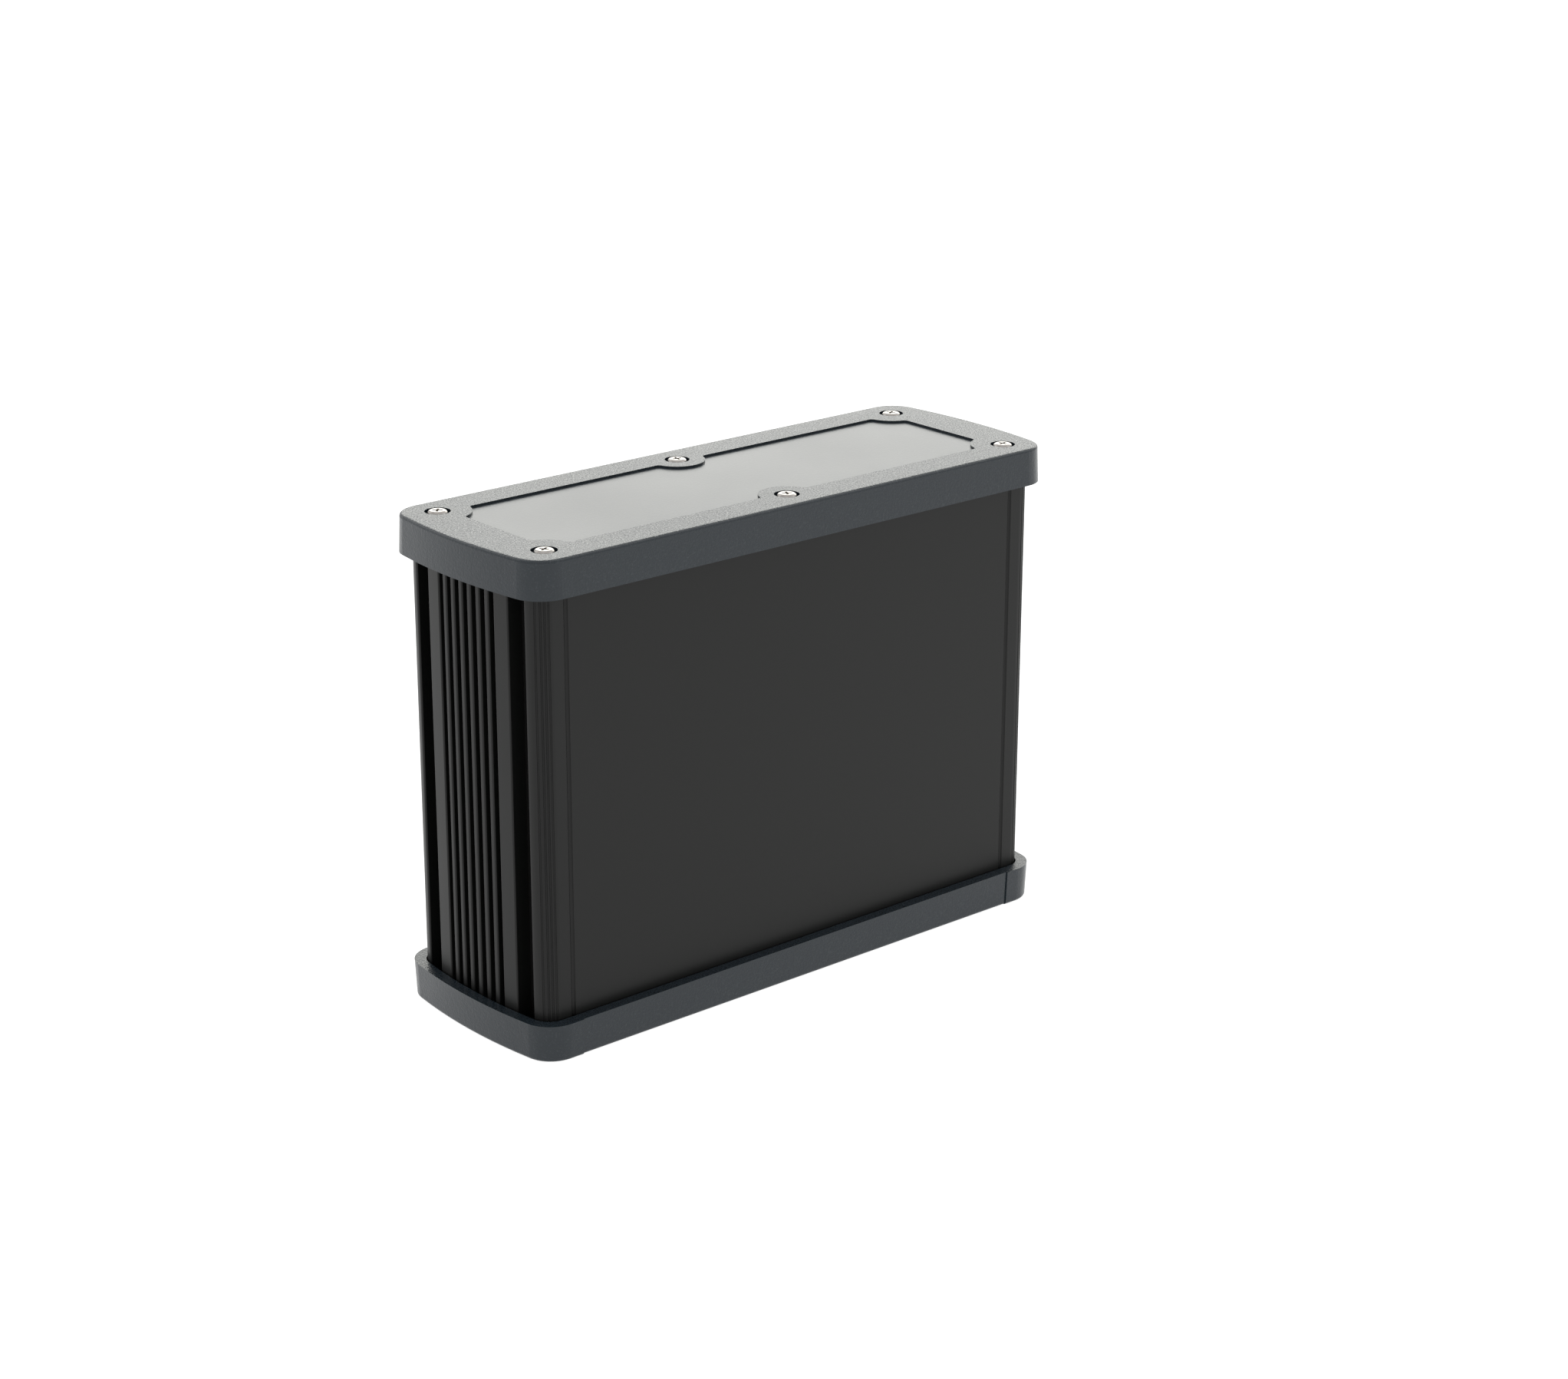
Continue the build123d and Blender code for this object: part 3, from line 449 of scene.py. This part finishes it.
def screw_threads():
    """Threads of the twelve cap screws."""
    top_low, top_high = [Vector(corner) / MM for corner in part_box("top_cap_screws")]
    bottom_high = Vector(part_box("bottom_cap_screws")[1]) / MM
    places = [(sx * SCREW_X, sy * SCREW_Y) for sx in (-1, 1) for sy in (-1, 1)]
    places += [(0.0, top_high.y - SCREW_HEAD_RADIUS), (0.0, top_low.y + SCREW_HEAD_RADIUS)]
    for name, body, start, away in (
        ("top_screw_threads", "lid_screws", top_low.z + THREAD_START, "+Z"),
        ("bottom_screw_threads", "case", bottom_high.z - THREAD_START, "-Z"),
    ):
        shape = Shape()
        for x, y in places:
            shape.thread((x, y, start), away, THREAD_LENGTH, THREAD_PITCH, THREAD_ROOT, THREAD_CREST)
        shape.add(name, body, "stainless")


def sleeve_seams():
    """Lengthwise seam of the shrink film on each cell."""
    turns = random.Random(7)
    inner, outer = SLEEVE_RADIUS - 0.05, SLEEVE_RADIUS + 0.06
    profile = [(inner, 0), (outer, 0), (outer, SEAM_HEIGHT), (inner, SEAM_HEIGHT)]
    shape = Shape()
    for foot in (SEAM_FOOT, SEAM_FOOT + TIER_PITCH):
        for x in CELL_COLUMNS:
            for row in (-1, 1):
                middle = row * math.pi / 2 + turns.uniform(-0.5, 0.5)
                arc = (middle - SEAM_HALF_TURN, middle + SEAM_HALF_TURN)
                shape.turned((x, row * CELL_ROW_Y, foot), "+Z", profile, sides=4, arc=arc)
    shape.add("sleeve_seams", "pack", "cell_sleeve")


def chip_pins():
    """Bent leads on the four sides of the control chip."""
    over = [(4.3, 0.75), (4.95, 0.75), (5.15, 0.18), (5.75, 0.18)]
    under = [(5.75, 0.02), (5.0, 0.02), (4.8, 0.6), (4.3, 0.6)]
    side_view = over + under
    middle_y, middle_z = CHIP_CENTRE
    shape = Shape()
    for i in range(11):
        offset = CHIP_PIN_PITCH * (i - 5) - CHIP_PIN_WIDTH / 2
        for sign in (-1, 1):
            row = [(BOARD_FACE + up, middle_y + sign * out, middle_z + offset) for out, up in side_view]
            shape.prism(row, (0, 0, CHIP_PIN_WIDTH))
            column = [(BOARD_FACE + up, middle_y + offset, middle_z + sign * out) for out, up in side_view]
            shape.prism(column, (0, CHIP_PIN_WIDTH, 0))
    shape.add("chip_pins", "pack", "nickel")


def resistor_ends():
    """Tinned end caps of the small resistors."""
    places = [(-24.0 + 3.4 * i, z) for i in range(5) for z in (114.5, 118.5, 122.5)]
    places += [(8.5 + 3.4 * i, z) for i in range(5) for z in (116.5, 120.5)]
    shape = Shape()
    for y, z in places:
        for near, far in ((-1.05, -0.6), (0.6, 1.05)):
            low = (BOARD_FACE - 0.02, y - 0.64, z + near)
            shape.box(low, (BOARD_FACE + 0.74, y + 0.64, z + far), 0.06)
    shape.add("resistor_ends", "pack", "nickel")


def capacitor_dress():
    """Sleeve and polarity stripe of the two capacitors, and a thin dark cross on each can's top: painted
    shade standing in for the scored grooves of the pressure vent.
    """
    lip = [(3.9, 0.5), (4.1, 0.5), (4.1, 1.2), (3.98, 1.6), (4.1, 2.0), (4.1, 10.5)]
    lip += [(3.95, 10.9), (3.6, 11.08), (3.25, 11.08), (3.25, 10.9), (3.9, 10.3)]
    band = [(4.05, 2.2), (4.14, 2.2), (4.14, 10.3), (4.05, 10.3)]
    top = BOARD_FACE + CAPACITOR_LENGTH
    z = CAPACITOR_Z
    sleeves, stripes, vent_shade_marks = Shape(), Shape(), Shape()
    for y in CAPACITOR_Y:
        sleeves.turned((BOARD_FACE, y, z), "+X", lip, sides=40)
        stripes.turned((BOARD_FACE, y, z), "+X", band, sides=10, arc=(1.2, 2.0))
        # Painted shade: two thin dark strips on the can's top stand in for the shade in the vent's scored
        # grooves.
        vent_shade_marks.box((top - 0.02, y - 2.2, z - 0.1), (top + 0.04, y + 2.2, z + 0.1), 0.02)
        vent_shade_marks.box((top - 0.02, y - 0.1, z - 2.2), (top + 0.05, y + 0.1, z + 2.2), 0.02)
    sleeves.add("capacitor_sleeves", "pack", "component_black")
    stripes.add("capacitor_stripes", "pack", "connector_white")
    vent_shade_marks.add("capacitor_vent_shade_marks", "pack", "component_black")


def heatsink_screws():
    """Two hexagon screws and washers that clamp the heat sink."""
    washer = [(AXIS_GAP, -0.1), (2.2, -0.1), (2.2, 0.3), (2.1, 0.4), (AXIS_GAP, 0.4)]
    head = [(AXIS_GAP, 0.35), (1.75, 0.35), (1.9, 0.5), (1.9, 1.6), (1.7, 1.8), (AXIS_GAP, 1.8)]
    shape = Shape()
    for y, z in HEATSINK_SCREWS:
        place = (BOARD_FACE + HEATSINK_FACE, y, z)
        shape.turned(place, "+X", washer, sides=32)
        shape.turned(place, "+X", head, sides=6)
    shape.add("heatsink_screws", "pack", "zinc_steel")


def fuse_test_points():
    """Two small contacts on the main fuse's face."""
    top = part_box("main_fuse")[1][0] / MM
    shape = Shape()
    for y in (-2.3, 2.3):
        shape.box((top - 0.05, y - 0.5, 104.4), (top + 0.03, y + 0.5, 106.6), 0.02)
    shape.add("fuse_test_points", "pack", "nickel")


def plug_ribs():
    """Finger ribs of the sense plug and the latch ramp on its header."""
    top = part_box("sense_plug")[1][0] / MM
    shape = Shape()
    for y in (-5.8, -2.0, 2.0, 5.8):
        shape.box((top - 0.1, y - 0.35, 127.4), (top + 0.35, y + 0.35, 130.6), 0.08)
    ramp = [(64.2, 131.9), (64.2, 132.7), (65.0, 132.7), (67.3, 132.1), (67.3, 131.9)]
    shape.prism([(x, -1.8, z) for x, z in ramp], (0, 3.6, 0))
    shape.add("plug_ribs", "pack", "connector_white")


def test_pads():
    """Round brass pads on the board's face, in two rows of five."""
    flat = [(AXIS_GAP, -0.03), (0.65, -0.03), (0.65, 0.04), (AXIS_GAP, 0.04)]
    shape = Shape()
    for i in range(5):
        for sign in (-1, 1):
            shape.turned((BOARD_FACE, sign * (12.0 + 3.0 * i), TEST_PAD_Z), "+X", flat, sides=20)
    shape.add("test_pads", "pack", "brass")


def board_solder():
    """Solder joints on the board's back, behind its leaded parts."""
    places = [(2.0 * i, 129.0) for i in range(-3, 4)]
    places += [(y, CAPACITOR_Z) for y in (9.5, 12.5, 19.5, 22.5)]
    places += [(y, z) for y in (-2.5, 2.5) for z in (104.0, 107.0)]
    places += [(y, z) for y in (-22.0, -14.0) for z in (100.1, 110.9)]
    places += [(3.0 * i, 57.0) for i in range(-3, 4)]
    shape = Shape()
    for y, z in places:
        shape.turned((BOARD_BACK, y, z), "-X", dome(0.8, 0.6), sides=16)
    shape.add("board_solder", "pack", "nickel")


def lead_joints():
    """Solder where the pack's leads meet the busbar tabs and the board."""
    thick = [(AXIS_GAP, -0.05), (2.6, -0.05), (2.5, 0.3), (1.95, 0.8), (1.72, 1.8), (AXIS_GAP, 1.8)]
    thin = [(AXIS_GAP, -0.05), (1.3, -0.05), (1.2, 0.25), (0.75, 0.7), (0.57, 1.5), (AXIS_GAP, 1.5)]
    shape = Shape()
    for row in (-1, 1):
        y = row * CELL_ROW_Y
        shape.turned((PACK_LEAD_X, y, LOWER_TAB_Z), "+Z", thick, sides=28)
        shape.box((SOLDER_X, y - 1.5, 59.8), (BOARD_BACK + 0.05, y + 1.5, 61.6), 0.45)
        shape.turned((SENSE_LEAD_X, y, MIDDLE_TAB_Z), "+Z", thin, sides=20)
    shape.box((55.9, -0.95, 137.75), (57.6, 0.95, 138.62), 0.3)
    shape.add("lead_joints", "pack", "nickel")


def dock_ribs(node, name, body):
    """Grip ribs on one half of the dock."""
    low, high = [Vector(corner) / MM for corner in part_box(node)]
    shape = Shape()
    for i in range(-4, 5):
        y = 2.5 * i
        shape.box((high.x - 0.1, y - 0.4, low.z + 2.0), (high.x + 0.4, y + 0.4, high.z - 2.0), 0.15)
    shape.add(name, body, "connector_black")


dock_ribs("dock_socket", "dock_socket_ribs", "pack")
dock_ribs("dock_receptacle", "receptacle_ribs", "case")
screw_threads()
sleeve_seams()
chip_pins()
resistor_ends()
capacitor_dress()
heatsink_screws()
fuse_test_points()
plug_ribs()
test_pads()
board_solder()
lead_joints()


# ---------------------------------------------------------------- stage
CAMERA_PLACE = Vector((-0.5857, -0.7016, 0.4005))
CAMERA_HEADING = math.radians(40.856)
CAMERA_DIP = math.radians(19.159)
CAMERA_ROLL = math.radians(0.17)
CAMERA_LENS = 73.07
WORLD_LIGHT = 1.0
FLOOR_GLOW = 0.84


def add_camera():
    data = bpy.data.cameras.new("camera")
    data.lens = CAMERA_LENS
    data.sensor_width = 36.0
    data.clip_start = 0.02
    data.clip_end = 60.0
    camera = bpy.data.objects.new("camera", data)
    turn = Matrix.Rotation(-CAMERA_HEADING, 4, "Z")
    tip = Matrix.Rotation(math.pi / 2 - CAMERA_DIP, 4, "X")
    roll = Matrix.Rotation(CAMERA_ROLL, 4, "Z")
    camera.matrix_world = Matrix.Translation(CAMERA_PLACE) @ turn @ tip @ roll
    bpy.context.scene.collection.objects.link(camera)
    bpy.context.scene.camera = camera


def add_panel(name, place, aim, size, power, color=(1.0, 1.0, 1.0)):
    """A soft rectangular studio light that faces aim."""
    data = bpy.data.lights.new(name, "AREA")
    data.shape = "RECTANGLE"
    data.size, data.size_y = size
    data.energy = power
    data.color = color
    panel = bpy.data.objects.new(name, data)
    panel.location = place
    panel.rotation_euler = (Vector(aim) - Vector(place)).to_track_quat("-Z", "Y").to_euler()
    bpy.context.scene.collection.objects.link(panel)


def add_floor():
    """A plain pale floor, the same all over and evenly self-lit like a light table."""
    mesh = bpy.data.meshes.new("floor")
    shape = bmesh.new()
    bmesh.ops.create_grid(shape, x_segments=8, y_segments=8, size=12.0)
    shape.to_mesh(mesh)
    shape.free()
    floor = bpy.data.objects.new("floor", mesh)
    paper = Finish("floor_paper", (0.34, 0.34, 0.34), 0.9, specular=0.1)
    paper.vary_color(paper.noise(0.4, 2), 0.004)
    paper.put("Emission Color", (1.0, 1.0, 1.0, 1))
    paper.put("Emission Strength", FLOOR_GLOW)
    mesh.materials.append(paper.mat)
    bpy.context.scene.collection.objects.link(floor)


def add_world():
    world = bpy.data.worlds.new("studio")
    world.use_nodes = True
    sky = world.node_tree.nodes["Background"]
    sky.inputs["Color"].default_value = (1.0, 1.0, 1.0, 1)
    sky.inputs["Strength"].default_value = WORLD_LIGHT
    bpy.context.scene.world = world
    bpy.context.scene.view_settings.view_transform = "Standard"


add_camera()
add_floor()
add_world()
add_panel("back_panel", (1.45, 1.15, 0.90), (0.0, 0.0, 0.12), (2.4, 1.1), 19.0, (1.0, 1.0, 0.94))
add_panel("right_panel", (0.95, -0.50, 1.10), (0.0, 0.0, 0.15), (0.9, 0.9), 2.0)
add_panel("left_panel", (-0.50, 1.05, 0.95), (0.0, 0.0, 0.15), (0.9, 0.9), 2.0)
add_panel("top_panel", (0.0, 0.0, 1.9), (0.0, 0.0, 0.0), (2.2, 2.2), 6.0)
